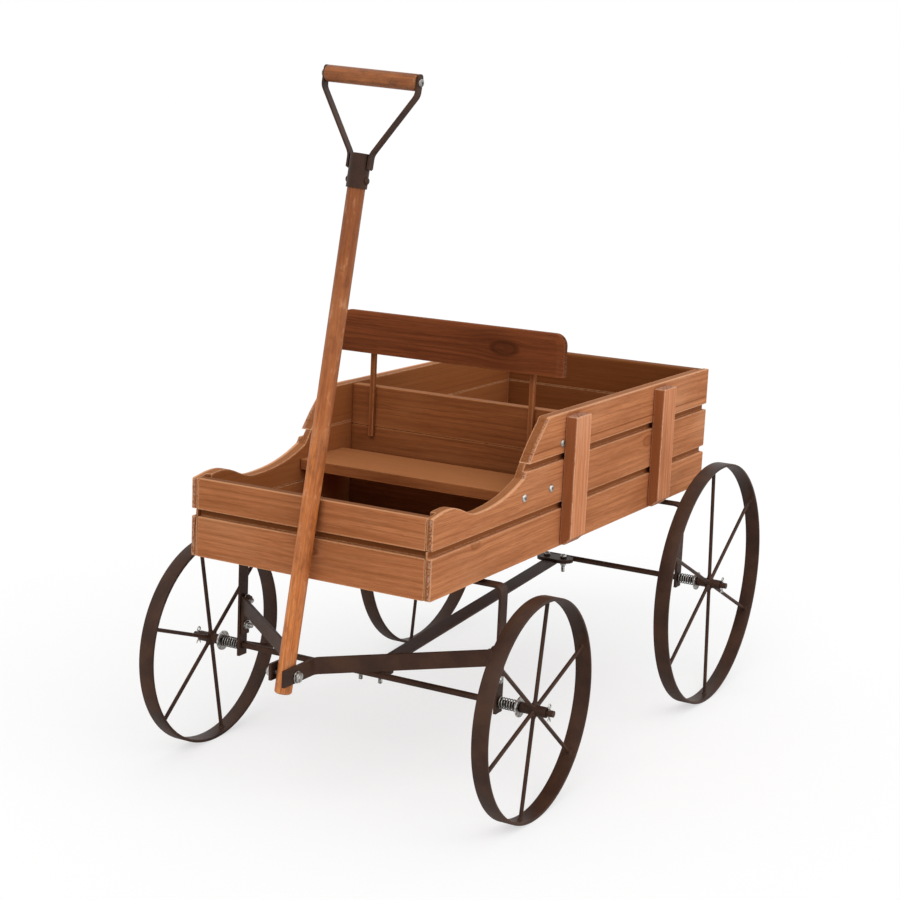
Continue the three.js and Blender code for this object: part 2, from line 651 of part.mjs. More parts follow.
// Split pin through the axle's end: an eye above, a straight shank and two splayed legs below.
function cotterPin(end, side) {
  const radius = COTTER_DIAMETER / 2;
  const legRadius = COTTER_HALF.leg / 2;
  const shankHalf = AXLE_RADIUS + COTTER_PAST_AXLE;
  const shank = new THREE.CylinderGeometry(radius, radius, 2 * shankHalf, COTTER_SIDES).rotateX(Math.PI / 2);
  const eye = new THREE.TorusGeometry(COTTER_EYE, COTTER_HALF.eye / 2, COTTER_SIDES, SMALL_HOLE_SIDES);
  eye.rotateX(Math.PI / 2);
  eye.translate(0, 0, shankHalf + COTTER_EYE);
  let pin = solid(shank).add(solid(eye));
  for (const way of [-1, 1]) {
    const leg = new THREE.CylinderGeometry(legRadius, legRadius, COTTER_LEG, COTTER_SIDES);
    leg.translate(0, -COTTER_LEG / 2, 0).rotateX(Math.PI / 2);
    leg.rotateY(way * radians(COTTER_SPLAY));
    pin = pin.add(solid(leg.translate(0, 0, -shankHalf + radius)));
  }
  return pin.translate([AXLE_X[end], side * COTTER_Y, axleZ(end)]);
}

function addRunningGear(wagon) {
  for (const end of ENDS) {
    addPiece(wagon, `arch_${end}`, arch(end), IRON);
    addPiece(wagon, `axle_${end}`, axle(end), IRON);
    for (const [side, sign] of Object.entries(SIDES)) {
      addPiece(wagon, `wheel_spring_${end}_${side}`, spring(end, sign), ZINC);
      addPiece(wagon, `wheel_washer_${end}_${side}`, washer(end, sign), ZINC);
      addPiece(wagon, `cotter_pin_${end}_${side}`, cotterPin(end, sign), ZINC);
    }
  }
  addPiece(wagon, "centre_beam", centreBeam(), IRON);
  console.log(`wheel spring, least gap to itself: ${springSelfGap().toFixed(2)} mm`);
}

// ---------------------------------------------------------------- wheels

// Flat band rim whose facets touch the true circle, so that it stands on one of them.
function rim(radius) {
  const toCorner = 1 / Math.cos(Math.PI / RIM_FACETS);
  const outer = radius * toCorner;
  const inner = (radius - RIM_THICKNESS) * toCorner;
  const half = RIM_WIDTH / 2;
  const section = [[inner, -half], [outer, -half], [outer, half], [inner, half], [inner, -half]]
    .map(([u, v]) => new THREE.Vector2(u, v));
  return solid(new THREE.LatheGeometry(section, RIM_FACETS, Math.PI / RIM_FACETS));
}

// Rim, round spokes and a tube hub, welded into one piece about the y axis.
function wheel(radius, spokeTurn) {
  let body = rim(radius).add(rodAlongY(HUB_DIAMETER / 2, -HUB_LENGTH / 2, HUB_LENGTH / 2, 0, 0));
  const length = radius - RIM_THICKNESS / 2;
  for (let i = 0; i < SPOKES; i += 1) {
    const spoke = new THREE.CylinderGeometry(SPOKE_DIAMETER / 2, SPOKE_DIAMETER / 2, length, SPOKE_SIDES);
    spoke.translate(0, length / 2, 0).rotateZ(-Math.PI / 2);
    spoke.rotateY(-radians(spokeTurn + (360 / SPOKES) * i));
    body = body.add(solid(spoke));
  }
  return body.subtract(rodAlongY(AXLE_RADIUS + TURNING_GAP, -HUB_LENGTH, HUB_LENGTH, 0, 0));
}

function addWheels(wagon) {
  const middleY = (HUB_INNER_Y + HUB_OUTER_Y) / 2;
  for (const end of ENDS) {
    for (const [side, sign] of Object.entries(SIDES)) {
      const place = `${end}_${side}`;
      const body = wheel(WHEEL_RADIUS[end], SPOKE_TURN[place]);
      const piece = addPiece(wagon, `wheel_${place}`, body, IRON);
      piece.position.set(AXLE_X[end], sign * middleY, axleZ(end));
    }
  }
}

// ---------------------------------------------------------------- drawbar

const FORK_MIDDLE_Z = ARM_MIDDLE - ARM_DROP;
const PIVOT_Z = FORK_MIDDLE_Z - PIVOT_DROP;
const FORK_OUTER_Y = FORK_GAP / 2 + ARM_THICKNESS;

function pivotHole(radius) {
  return rodAlongY(radius, -BOX_WIDTH, BOX_WIDTH, PIVOT_X, PIVOT_Z);
}

// A flat bar on edge, from its upright tab on the inside of the arch's leg, slanting in and down to the fork.
function drawbarArm(name) {
  const side = SIDES[name];
  const tabY = LEG_OUTER_Y - BAR_THICKNESS - GAP - ARM_THICKNESS / 2;
  const forkY = FORK_OUTER_Y - ARM_THICKNESS / 2;
  const tabFront = AXLE_X.front - TAB_WIDTH / 2;
  const tabRear = AXLE_X.front + TAB_WIDTH / 2;
  const start = AXLE_X.front - ARM_START;
  const line = bentLine([
    [tabRear, side * tabY],
    [start, side * tabY],
    [FORK_X, side * forkY],
    [PIVOT_X - FORK_NOSE[name], side * forkY],
  ], ARM_BEND);
  const bar = extruded(barOutline(line, ARM_THICKNESS), ARM_HEIGHT);
  bar.translate(0, 0, ARM_MIDDLE - ARM_HEIGHT / 2);
  const corners = bar.attributes.position;
  for (let i = 0; i < corners.count; i += 1) {
    const way = THREE.MathUtils.clamp((start - corners.getX(i)) / (start - FORK_X), 0, 1);
    corners.setZ(i, corners.getZ(i) - ARM_DROP * way);
  }
  const tab = block(
    [tabFront, side * (tabY - ARM_THICKNESS / 2), ARM_MIDDLE - ARM_HEIGHT / 2 - TAB_DEPTH],
    [tabRear, side * (tabY + ARM_THICKNESS / 2), ARM_MIDDLE + ARM_HEIGHT / 2]);
  return solid(bar).add(tab).subtract(pivotHole(PIVOT_DIAMETER / 2 + GAP));
}

function hexagonAlongY(width, from, to) {
  return rodAlongY(width / 2, from, to, PIVOT_X, PIVOT_Z, 6);
}

// Bolt across the fork, head on the left and nut on the right.
function pivotBolt() {
  const headFace = -FORK_OUTER_Y - GAP;
  const nutFace = FORK_OUTER_Y + GAP;
  const head = hexagonAlongY(PIVOT_HEAD.width, headFace - PIVOT_HEAD.thickness, headFace);
  const nut = hexagonAlongY(PIVOT_NUT.width, nutFace, nutFace + PIVOT_NUT.thickness);
  const reach = nutFace + PIVOT_NUT.thickness + PIVOT_BOLT_END;
  const shank = rodAlongY(PIVOT_DIAMETER / 2, headFace - OVERCUT, reach, PIVOT_X, PIVOT_Z);
  return head.add(nut).add(shank);
}

function addDrawbar(wagon) {
  for (const side of Object.keys(SIDES)) {
    addPiece(wagon, `drawbar_arm_${side}`, drawbarArm(side), IRON);
  }
  addPiece(wagon, "handle_pivot_bolt", pivotBolt(), ZINC);
}

// ---------------------------------------------------------------- handle

// A body of revolution about the pole's line, which is the handle's own z axis.
function turnedAlongZ(section, sides) {
  const points = section.map(([u, v]) => new THREE.Vector2(u, v));
  return solid(new THREE.LatheGeometry(points, sides).rotateX(Math.PI / 2));
}

function handlePole() {
  const radius = POLE_DIAMETER / 2;
  const pole = turnedAlongZ([
    [0, -POLE_STUB],
    [radius - POLE_EDGE, -POLE_STUB],
    [radius, -POLE_STUB + POLE_EDGE],
    [radius, POLE_TOP],
    [0, POLE_TOP],
  ], POLE_SIDES);
  const hole = new THREE.CylinderGeometry(
    PIVOT_DIAMETER / 2 + TURNING_GAP, PIVOT_DIAMETER / 2 + TURNING_GAP, 2 * POLE_DIAMETER, ROD_SIDES);
  return pole.subtract(solid(hole.rotateX(-radians(HANDLE_SIDE_LEAN))));
}

const SOCKET_RADIUS = POLE_DIAMETER / 2 + GAP + SOCKET_WALL;
const SOCKET_FOOT = POLE_TOP - SOCKET_LAP;
const SOCKET_TOP = SOCKET_FOOT + SOCKET_LENGTH;
const GRIP_HEIGHT = POLE_TOP + GRIP_ABOVE_POLE;

function handleSocket() {
  const inner = POLE_DIAMETER / 2 + GAP;
  return turnedAlongZ([
    [inner, SOCKET_FOOT],
    [SOCKET_RADIUS, SOCKET_FOOT],
    [SOCKET_RADIUS, SOCKET_TOP],
    [inner, SOCKET_TOP],
    [inner, SOCKET_FOOT],
  ], POLE_SIDES);
}

const STRAP_ROUND = (STRAP_WIDTH - STRAP_END_FLAT) / 2;

// Flat strap from the socket's side out to the grip's end, square at its foot and round at its top.
function handleStrap(side) {
  const lowerY = SOCKET_RADIUS + GAP + STRAP_THICKNESS / 2;
  const upperY = GRIP_LENGTH / 2 + GAP + STRAP_THICKNESS / 2;
  const top = GRIP_HEIGHT + GRIP_DIAMETER / 2;
  const line = bentLine([
    [side * lowerY, SOCKET_TOP - STRAP_LAP],
    [side * lowerY, SOCKET_TOP - STRAP_LOWER_BEND],
    [side * upperY, GRIP_HEIGHT - STRAP_UPPER_BEND],
    [side * upperY, top],
  ], STRAP_BEND);
  const bar = alongX(barOutline(line, STRAP_THICKNESS), -STRAP_WIDTH / 2, STRAP_WIDTH);
  const roundEnd = roundedRectangle(0, top - GRIP_LENGTH, STRAP_WIDTH, 2 * GRIP_LENGTH, STRAP_ROUND);
  const cutter = alongY(roundEnd, -GRIP_LENGTH, 2 * GRIP_LENGTH, { curveSegments: 2 * EDGE_STEPS });
  const screwHole = rodAlongY(
    SCREW_DIAMETER / 2 + GAP, side * (upperY - STRAP_THICKNESS), side * (upperY + STRAP_THICKNESS),
    0, GRIP_HEIGHT, SMALL_HOLE_SIDES);
  return bar.intersect(cutter).subtract(screwHole);
}

// Turned grip between the straps, with a pilot hole in each end.
function grip() {
  const radius = GRIP_DIAMETER / 2;
  const half = GRIP_LENGTH / 2;
  const section = [
    [0, -half],
    [radius - GRIP_EDGE, -half],
    [radius, -half + GRIP_EDGE],
    [radius, half - GRIP_EDGE],
    [radius - GRIP_EDGE, half],
    [0, half],
  ].map(([u, v]) => new THREE.Vector2(u, v));
  let body = solid(new THREE.LatheGeometry(section, POLE_SIDES).translate(0, 0, GRIP_HEIGHT));
  for (const side of Object.values(SIDES)) {
    const bottom = side * (half - SCREW_LENGTH);
    body = body.subtract(rodAlongY(
      SCREW_DIAMETER / 2 + GAP, bottom, side * (half + OVERCUT), 0, GRIP_HEIGHT, SMALL_HOLE_SIDES));
  }
  return body;
}

function gripScrew(side) {
  const face = GRIP_LENGTH / 2 + STRAP_THICKNESS + 2 * GAP;
  const tip = side * (GRIP_LENGTH / 2 - SCREW_LENGTH + GAP);
  const shank = rodAlongY(
    SCREW_DIAMETER / 2, tip, side * (face + OVERCUT), 0, GRIP_HEIGHT, SMALL_HOLE_SIDES);
  const headEnd = side * (face + SCREW_HEAD.thickness);
  return shank.add(rodAlongY(
    SCREW_HEAD.diameter / 2, side * face, headEnd, 0, GRIP_HEIGHT, SMALL_HOLE_SIDES));
}

// How far the pole leans back, in radians, when it rests on the front wall's rounded top edge.
function restLean() {
  const edge = new THREE.Vector2(
    TOP_EDGE_RADIUS - PIVOT_X, boxZ(TRAY_HEIGHT) - TOP_EDGE_RADIUS - PIVOT_Z);
  const reach = POLE_DIAMETER / 2 + GAP + TOP_EDGE_RADIUS;
  return Math.atan2(edge.x, edge.y) - Math.asin(reach / edge.length());
}

function addHandle(wagon) {
  const swing = new THREE.Group();
  swing.position.set(PIVOT_X, 0, PIVOT_Z);
  swing.rotation.y = restLean();
  const handle = new THREE.Group();
  handle.rotation.x = radians(HANDLE_SIDE_LEAN);
  addPiece(handle, "handle_pole", handlePole(), HANDLE_WOOD);
  addPiece(handle, "handle_socket", handleSocket(), IRON);
  addPiece(handle, "handle_grip", grip(), HANDLE_WOOD);
  for (const [side, sign] of Object.entries(SIDES)) {
    addPiece(handle, `handle_strap_${side}`, handleStrap(sign), IRON);
    addPiece(handle, `grip_screw_${side}`, gripScrew(sign), ZINC);
  }
  swing.add(handle);
  wagon.add(swing);
}

// ---------------------------------------------------------------- the whole wagon

const wagon = new THREE.Group();
addBox(wagon);
addRunningGear(wagon);
addWheels(wagon);
addDrawbar(wagon);
addHandle(wagon);

const foremost = PIVOT_X - Math.max(FORK_NOSE.left, FORK_NOSE.right);
const rearmost = AXLE_X.rear + WHEEL_RADIUS.rear;
wagon.position.x = -(foremost + rearmost) / 2;

export default wagon;
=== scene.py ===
import json
import math

import bmesh
import bpy
from mathutils import Matrix, Vector

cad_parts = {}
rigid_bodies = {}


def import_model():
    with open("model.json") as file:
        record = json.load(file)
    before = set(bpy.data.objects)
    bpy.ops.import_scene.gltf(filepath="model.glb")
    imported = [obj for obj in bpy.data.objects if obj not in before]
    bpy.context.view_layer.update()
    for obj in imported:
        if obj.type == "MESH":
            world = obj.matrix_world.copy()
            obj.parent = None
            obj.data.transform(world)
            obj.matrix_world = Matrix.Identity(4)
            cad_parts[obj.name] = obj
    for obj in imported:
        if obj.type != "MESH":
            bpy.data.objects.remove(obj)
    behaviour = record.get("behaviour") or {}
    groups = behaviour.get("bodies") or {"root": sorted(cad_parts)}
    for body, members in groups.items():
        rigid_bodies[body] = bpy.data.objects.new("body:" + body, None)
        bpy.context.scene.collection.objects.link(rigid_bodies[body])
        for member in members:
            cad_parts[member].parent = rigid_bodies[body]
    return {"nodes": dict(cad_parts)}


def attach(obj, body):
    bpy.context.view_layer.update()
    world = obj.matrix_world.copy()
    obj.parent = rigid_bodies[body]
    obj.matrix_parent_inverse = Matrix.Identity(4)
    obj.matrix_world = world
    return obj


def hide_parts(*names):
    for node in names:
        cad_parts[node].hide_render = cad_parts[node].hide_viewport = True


for leftover in list(bpy.data.objects):
    bpy.data.objects.remove(leftover)
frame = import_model()
bpy.context.view_layer.update()
nodes = frame["nodes"]

MM = 0.001
BOX_FRONT = -264.65  # x of the box's front face
BOX_BOTTOM = 191.4
BOX_LENGTH = 534
SIDE_FACE = 111  # y of the box's outer side faces
SCORED_RISE = 88  # from the box's bottom up to the line scored in the upper side boards
LEG_INNER, LEG_OUTER = 120.7, 126.0  # y of the faces of the arches' legs
WHEEL_MIDDLE = 157.25
PIN_MIDDLE = 170.6
AXLE_X = {"front": 93, "rear": 456}
WHEEL_RADIUS = {"front": 90.75, "rear": 115.1}
SIDES = {"left": -1, "right": 1}
ENDS = ("front", "rear")


def spot(x, y, z):
    """A place in metres, from millimetres behind the box's front face, to the right, and above the ground."""
    return Vector(((x + BOX_FRONT) * MM, y * MM, z * MM))


PIVOT_X, PIVOT_Z = -24.8, 119.8
PIVOT = spot(PIVOT_X, 0, PIVOT_Z)
HANDLE = (Matrix.Translation(PIVOT) @ Matrix.Rotation(math.radians(7.523), 4, "Y")
          @ Matrix.Rotation(math.radians(2.8), 4, "X"))


# ---------------------------------------------------------------- camera, light and floor

def place_camera():
    yaw, pitch, roll = (math.radians(a) for a in (28.98, -11.47, 2.57))
    ahead = Vector((math.cos(pitch) * math.cos(yaw), math.cos(pitch) * math.sin(yaw), math.sin(pitch)))
    right = ahead.cross(Vector((0, 0, 1))).normalized()
    up = right.cross(ahead)
    rolled_right = right * math.cos(roll) + up * math.sin(roll)
    rolled_up = up * math.cos(roll) - right * math.sin(roll)
    data = bpy.data.cameras.new("camera")
    data.lens = 76.44
    data.sensor_width = 36
    data.shift_y = 0.0011
    camera = bpy.data.objects.new("camera", data)
    turn = Matrix((rolled_right, rolled_up, -ahead)).transposed().to_4x4()
    camera.matrix_world = Matrix.Translation(Vector((-1.46613, -0.78788, 0.58781))) @ turn
    bpy.context.collection.objects.link(camera)
    bpy.context.scene.camera = camera


def soft_light(name, source, spread, strength):
    """A broad, even light that comes from the given direction."""
    data = bpy.data.lights.new(name, "SUN")
    data.angle = math.radians(spread)
    data.energy = strength
    lamp = bpy.data.objects.new(name, data)
    lamp.location = source
    lamp.rotation_euler = (-Vector(source)).to_track_quat("-Z", "Y").to_euler()
    bpy.context.collection.objects.link(lamp)


# ---------------------------------------------------------------- finishes

def stain(code):
    """A written colour, such as #a0623d, as the linear values that a shader takes."""
    parts = [int(code[i:i + 2], 16) / 255 for i in (1, 3, 5)]
    return tuple(c / 12.92 if c <= 0.04045 else ((c + 0.055) / 1.055) ** 2.4 for c in parts) + (1,)


class Field:
    """A socket whose value changes over the surface, for use in plain arithmetic."""

    def __init__(self, finish, socket):
        self.finish = finish
        self.socket = socket

    def __add__(self, other):
        return self.finish.maths("ADD", self, other)

    def __radd__(self, other):
        return self.finish.maths("ADD", other, self)

    def __sub__(self, other):
        return self.finish.maths("SUBTRACT", self, other)

    def __rsub__(self, other):
        return self.finish.maths("SUBTRACT", other, self)

    def __mul__(self, other):
        return self.finish.maths("MULTIPLY", self, other)

    def __rmul__(self, other):
        return self.finish.maths("MULTIPLY", other, self)

    def __truediv__(self, other):
        return self.finish.maths("DIVIDE", self, other)

    def __pow__(self, other):
        return self.finish.maths("POWER", self, other)

    def __abs__(self):
        return self.finish.maths("ABSOLUTE", self)


class Finish:
    """A material, or the world when that family is given, and the nodes that paint it."""

    def __init__(self, name, family=bpy.data.materials):
        self.material = family.new(name)
        self.material.use_nodes = True
        self.tree = self.material.node_tree
        self.tree.nodes.clear()

    def node(self, kind, sockets, out=0, **settings):
        made = self.tree.nodes.new("ShaderNode" + kind)
        for key, value in settings.items():
            setattr(made, key, value)
        for key, value in sockets.items():
            if isinstance(value, Field):
                self.tree.links.new(value.socket, made.inputs[key])
            elif value is not None:
                made.inputs[key].default_value = value
        return Field(self, made.outputs[out])

    def maths(self, operation, first, second=None):
        return self.node("Math", {0: first, 1: second}, operation=operation)

    def blend(self, first, second, amount):
        return self.node("Mix", {0: amount, 6: first, 7: second}, out=2, data_type="RGBA")

    def step(self, value, low, high):
        return self.node(
            "MapRange", {"Value": value, "From Min": low, "From Max": high},
            interpolation_type="SMOOTHSTEP")

    def dot(self, vector, direction):
        return self.node("VectorMath", {0: vector, 1: direction}, out="Value", operation="DOT_PRODUCT")

    def point(self, x, y, z):
        return self.node("CombineXYZ", {"X": x, "Y": y, "Z": z})

    def noise(self, place, scale=1, detail=2, roughness=0.5):
        return self.node(
            "TexNoise", {"Vector": place, "Scale": scale, "Detail": detail, "Roughness": roughness})

    def place(self):
        return self.node("TexCoord", {}, out="Object")

    def facing(self):
        return self.node("TexCoord", {}, out="Normal")

    def crevice(self, reach):
        """1 in the open, falling towards 0 in corners and grooves, where the finishes use it to paint shade.
        """
        return self.node("AmbientOcclusion", {"Distance": reach}, out="AO", samples=6)

    def edge(self, reach):
        """0 on flats, rising along edges."""
        rounded = self.node("Bevel", {"Radius": reach}, samples=4)
        flat = self.node("NewGeometry", {}, out="Normal")
        return 1 - self.dot(rounded, flat)

    def surface(self, colour, roughness, height, bump, depth, metallic=0.0, **plain):
        normal = self.node("Bump", {"Height": height, "Strength": bump, "Distance": depth})
        sockets = {"Base Color": colour, "Roughness": roughness, "Normal": normal, "Metallic": metallic}
        sockets.update({key.replace("_", " "): value for key, value in plain.items()})
        self.finish(self.node("BsdfPrincipled", sockets))
        return self.material

    def finish(self, shader, output="OutputMaterial"):
        made = self.tree.nodes.new("ShaderNode" + output)
        self.tree.links.new(shader.socket, made.inputs["Surface"])


SIDE_TONE = {"light": "#d0895b", "dark": "#a8673f", "line": "#8a4d2a", "end": "#b98d76", "worn": "#e9b086",
             "shade": "#8a5027"}
FRONT_TONE = {"light": "#bf7a4f", "dark": "#985a35", "line": "#76421f", "end": "#b0836a", "worn": "#dca478",
              "shade": "#63330f"}
BATTEN_TONE = {"light": "#e69d71", "dark": "#bc754b", "line": "#95522f", "end": "#c09079", "worn": "#f6c4a0",
               "shade": "#854a26"}
INNER_TONE = {"light": "#9a5b34", "dark": "#774221", "line": "#5f3217", "end": "#8a5f47", "worn": "#b7794c",
              "shade": "#6b3c1e"}
BACK_TONE = {"light": "#854626", "dark": "#5f2f17", "line": "#371808", "end": "#6a3c24", "worn": "#8f5430",
             "shade": "#4e2610"}
POLE_TONE = {"light": "#e38a47", "dark": "#aa5f2e", "line": "#6c3615", "end": "#a87250", "worn": "#eab184",
             "shade": "#a35a24"}
GRIP_TONE = {"light": "#9f5828", "dark": "#6f3a16", "line": "#4c270d", "end": "#96643f", "worn": "#b97b49",
             "shade": "#703e1a"}
X_AXIS, Y_AXIS, Z_AXIS = Vector((1, 0, 0)), Vector((0, 1, 0)), Vector((0, 0, 1))


def stained_wood(name, along, across, tone, seed, knots=(), scored=(), dark_face=None, groove=None,
                 gloss=0.0, patches=0.0, sheen=0.05, darker_from=None):
    """Stained softwood. The grain runs along one axis, and its lines lie side by side across it."""
    f = Finish(name)
    through = along.cross(across)
    place, facing = f.place(), f.facing()
    g = f.dot(place, along) + seed * 0.37
    a = f.dot(place, across)
    t = f.dot(place, through)
    warp = f.noise(f.point(g * 3.1, a * 14, t * 14 + seed), detail=2) - 0.5
    ring = a + t * 0.42 + warp * 0.011
    knot_mask = None
    for knot_g, knot_a, size in knots:
        near = ((g - (knot_g + seed * 0.37)) / (size * 2.1)) ** 2 + ((a - knot_a) / size) ** 2
        ring = ring - (a - knot_a) * f.maths("EXPONENT", near * -0.32) * 0.85
        core = (1 - f.step(near, 0.3, 0.8)) * 0.45
        rim = f.step(near, 0.35, 0.7) * (1 - f.step(near, 0.8, 1.7)) * 0.6
        mask = core + rim
        knot_mask = mask if knot_mask is None else f.maths("MAXIMUM", knot_mask, mask)
    broad = f.noise(f.point(g * 4.2, ring * 55, seed * 1.7), detail=2)
    streak = f.noise(f.point(g * 9, ring * 330, seed * 2.3), detail=3, roughness=0.6)
    fibre = f.noise(f.point(g * 70, ring * 2300, t * 1500 + seed), detail=2)
    wave = f.maths("SINE", ring * (2 * math.pi / 0.0052) + broad * 9)
    line = f.step(wave, 0.35, 1.0) * f.step(broad, 0.38, 0.62)
    fine = f.noise(f.point(g * 24, ring * 800, seed * 3.1), detail=4, roughness=0.7)
    shade = streak * 0.4 + broad * 0.2 + fine * 0.4
    colour = f.blend(stain(tone["dark"]), stain(tone["light"]), f.step(shade, 0.38, 0.62))
    colour = f.blend(colour, stain(tone["line"]), line * 0.3)
    colour = f.blend(colour, stain(tone["line"]), f.step(fine, 0.53, 0.66) * 0.5)
    colour = f.blend(colour, stain(tone["worn"]), f.step(fine, 0.44, 0.32) * 0.3)
    colour = f.blend(colour, stain(tone["line"]), f.step(fibre, 0.52, 0.72) * 0.4)
    uneven = f.noise(f.point(g * 8, a * 16, seed * 1.9), detail=2)
    colour = f.blend(colour, stain(tone["line"]), f.step(uneven, 0.5, 0.78) * 0.42)
    colour = f.blend(colour, stain(tone["worn"]), f.step(uneven, 0.48, 0.2) * 0.22)
    if darker_from is not None:
        colour = f.blend(colour, stain(tone["line"]), f.step(f.dot(place, along), *darker_from) * 0.7)
    if patches:
        patch = f.noise(f.point(g * 60, a * 130, t * 130 + seed), detail=3, roughness=0.65)
        colour = f.blend(colour, stain(tone["line"]), f.step(patch, 0.48, 0.72) * patches)
        colour = f.blend(colour, stain(tone["worn"]), f.step(patch, 0.44, 0.28) * patches * 0.6)
    if knot_mask is not None:
        colour = f.blend(colour, stain(tone["line"]), knot_mask * (0.7 + 0.5 * fine))
    end_grain = f.step(abs(f.dot(facing, along)), 0.42, 0.85)
    pores = f.noise(place, scale=780, detail=3, roughness=0.65)
    end_colour = f.blend(stain(tone["shade"]), stain(tone["end"]), f.step(pores, 0.43, 0.56))
    mottle = f.step(f.noise(place, scale=240, detail=2), 0.42, 0.62)
    end_colour = f.blend(end_colour, stain("#8d7a6e"), mottle * f.step(pores, 0.5, 0.6) * 0.4)
    colour = f.blend(colour, end_colour, end_grain)
    if not patches:
        # painted light: faces that look upward are lightened towards the worn tone
        painted_top_light = f.step(f.dot(facing, Z_AXIS), 0.6, 0.95) * (1 - end_grain)
        colour = f.blend(colour, stain(tone["worn"]), painted_top_light * 0.55)
    if dark_face is not None:
        # the battens' narrow front faces are darkened with the shade tone, partly a darker stain and partly
        # painted shade
        colour = f.blend(colour, stain(tone["shade"]), f.step(f.dot(facing, dark_face), 0.5, 0.9) * 0.85)
    if groove is not None:
        axis, outer = groove
        # painted shade: the sunk faces of the groove are darkened with the shade tone
        painted_groove_shade = 1 - f.step(abs(f.dot(place, axis)), outer - 0.0034, outer - 0.0022)
        colour = f.blend(colour, stain(tone["shade"]), painted_groove_shade * 0.8)
    for height in scored:
        near = abs(a - height)
        colour = f.blend(colour, stain(tone["line"]), (1 - f.step(near, 0.0003, 0.0008)) * 0.8)
    worn = f.step(f.edge(0.0021), 0.02, 0.14) * f.step(f.noise(place, scale=260, detail=3), 0.2, 0.5)
    colour = f.blend(colour, stain(tone["worn"]), worn * 0.88)
    # painted shade: colour darkened towards the line tone in corners and grooves, by ambient occlusion
    open_air = f.crevice(0.008)
    colour = f.blend(stain(tone["line"]), colour, f.step(open_air, 0.1, 0.75))
    height = fine * 0.5 + fibre * 0.5 - line * 0.3 + pores * end_grain
    roughness = 0.54 - gloss + 0.2 * streak + 0.15 * end_grain
    return f.surface(colour, roughness, height, 0.4, 0.0004, Specular_IOR_Level=sheen)


def painted_iron(name, tone):
    """Brown powder coat with a fine orange peel, rubbed lighter on its edges, with painted shade in the
    corners.
    """
    f = Finish(name)
    place = f.place()
    cloud = f.noise(place, scale=38, detail=3, roughness=0.6)
    peel = f.noise(place, scale=820, detail=2)
    speck = f.noise(place, scale=2300, detail=1)
    colour = f.blend(stain(tone["dark"]), stain(tone["light"]), f.step(cloud, 0.3, 0.7))
    colour = f.blend(colour, stain(tone["speck"]), f.step(speck, 0.6, 0.72) * 0.35)
    rubbed = f.step(f.edge(0.0008), 0.04, 0.3) * f.step(cloud, 0.35, 0.6)
    colour = f.blend(colour, stain(tone["edge"]), rubbed * 0.6)
    # painted shade: corners and hollows darkened towards the deepest brown by ambient occlusion
    colour = f.blend(stain(tone["deep"]), colour, f.step(f.crevice(0.006), 0.15, 0.8))
    roughness = 0.4 + 0.18 * cloud
    return f.surface(colour, roughness, peel + speck * 0.3, 0.28, 0.00025, Specular_IOR_Level=0.2)


def zinc_plate(name, dull="#8f8d89", bright="#d9d7d2"):
    """Zinc or spring steel with a soft mottle, fine scratches and painted shade in the corners."""
    f = Finish(name)
    place = f.place()
    mottle = f.noise(place, scale=420, detail=3)
    scratch = f.noise(f.node("Mapping", {"Vector": place, "Scale": (2600, 160, 900)}), detail=2)
    colour = f.blend(stain(dull), stain(bright), f.step(mottle, 0.3, 0.65))
    # painted shade: corners darkened towards a dark grey by ambient occlusion
    colour = f.blend(stain("#3b3836"), colour, f.step(f.crevice(0.0025), 0.2, 0.85))
    roughness = 0.24 + 0.18 * mottle + 0.08 * scratch
    return f.surface(colour, roughness, scratch + mottle, 0.2, 0.0001, metallic=1.0)


IRON_TONE = {"dark": "#352118", "light": "#472e20", "speck": "#56402f", "edge": "#5f4733", "deep": "#1a100a"}


WHITE = (1, 1, 1, 1)
AMBIENT_LIGHT = 0.63
FLOOR_GLOW = 0.615  # what the camera sees on top of the floor's shaded grey
FLOOR_HALF = 14  # metres


def studio():
    floor_mesh = bpy.data.meshes.new("floor")
    bm = bmesh.new()
    bmesh.ops.create_grid(bm, x_segments=2, y_segments=2, size=FLOOR_HALF)
    bm.to_mesh(floor_mesh)
    bm.free()
    floor = bpy.data.objects.new("floor", floor_mesh)
    bpy.context.collection.objects.link(floor)
    f = Finish("pale_floor")
    cloud = f.noise(f.place(), scale=1.5, detail=1)
    plain = f.node("BsdfDiffuse", {"Color": f.blend(stain("#e6e6e6"), stain("#e9e9e9"), cloud)})
    shaded = f.node("BsdfDiffuse", {"Color": f.blend(stain("#aaaaaa"), stain("#acacac"), cloud)})
    glow = f.node("Emission", {"Color": WHITE, "Strength": FLOOR_GLOW})
    seen = f.node("AddShader", {0: shaded, 1: glow})
    camera_ray = f.node("LightPath", {}, out="Is Camera Ray")
    f.finish(f.node("MixShader", {0: camera_ray, 1: plain, 2: seen}))
    floor_mesh.materials.append(f.material)

    w = Finish("studio", bpy.data.worlds)
    either = w.maths("MAXIMUM", w.node("LightPath", {}, out="Is Camera Ray"),
                     w.node("LightPath", {}, out="Is Glossy Ray"))
    any_seen = w.maths("MAXIMUM", either, w.node("LightPath", {}, out="Is Transmission Ray"))
    ambient = w.node("Background", {"Color": WHITE, "Strength": AMBIENT_LIGHT})
    backdrop = w.node("Background", {"Color": WHITE, "Strength": 1.0})
    w.finish(w.node("MixShader", {0: any_seen, 1: ambient, 2: backdrop}), "OutputWorld")
    bpy.context.scene.world = w.material

    soft_light("key", (-2.0, -0.3, 2.0), 35, 0.83)
    soft_light("fill", (-0.5, -2.2, 1.7), 60, 0.87)


# ---------------------------------------------------------------- shaping

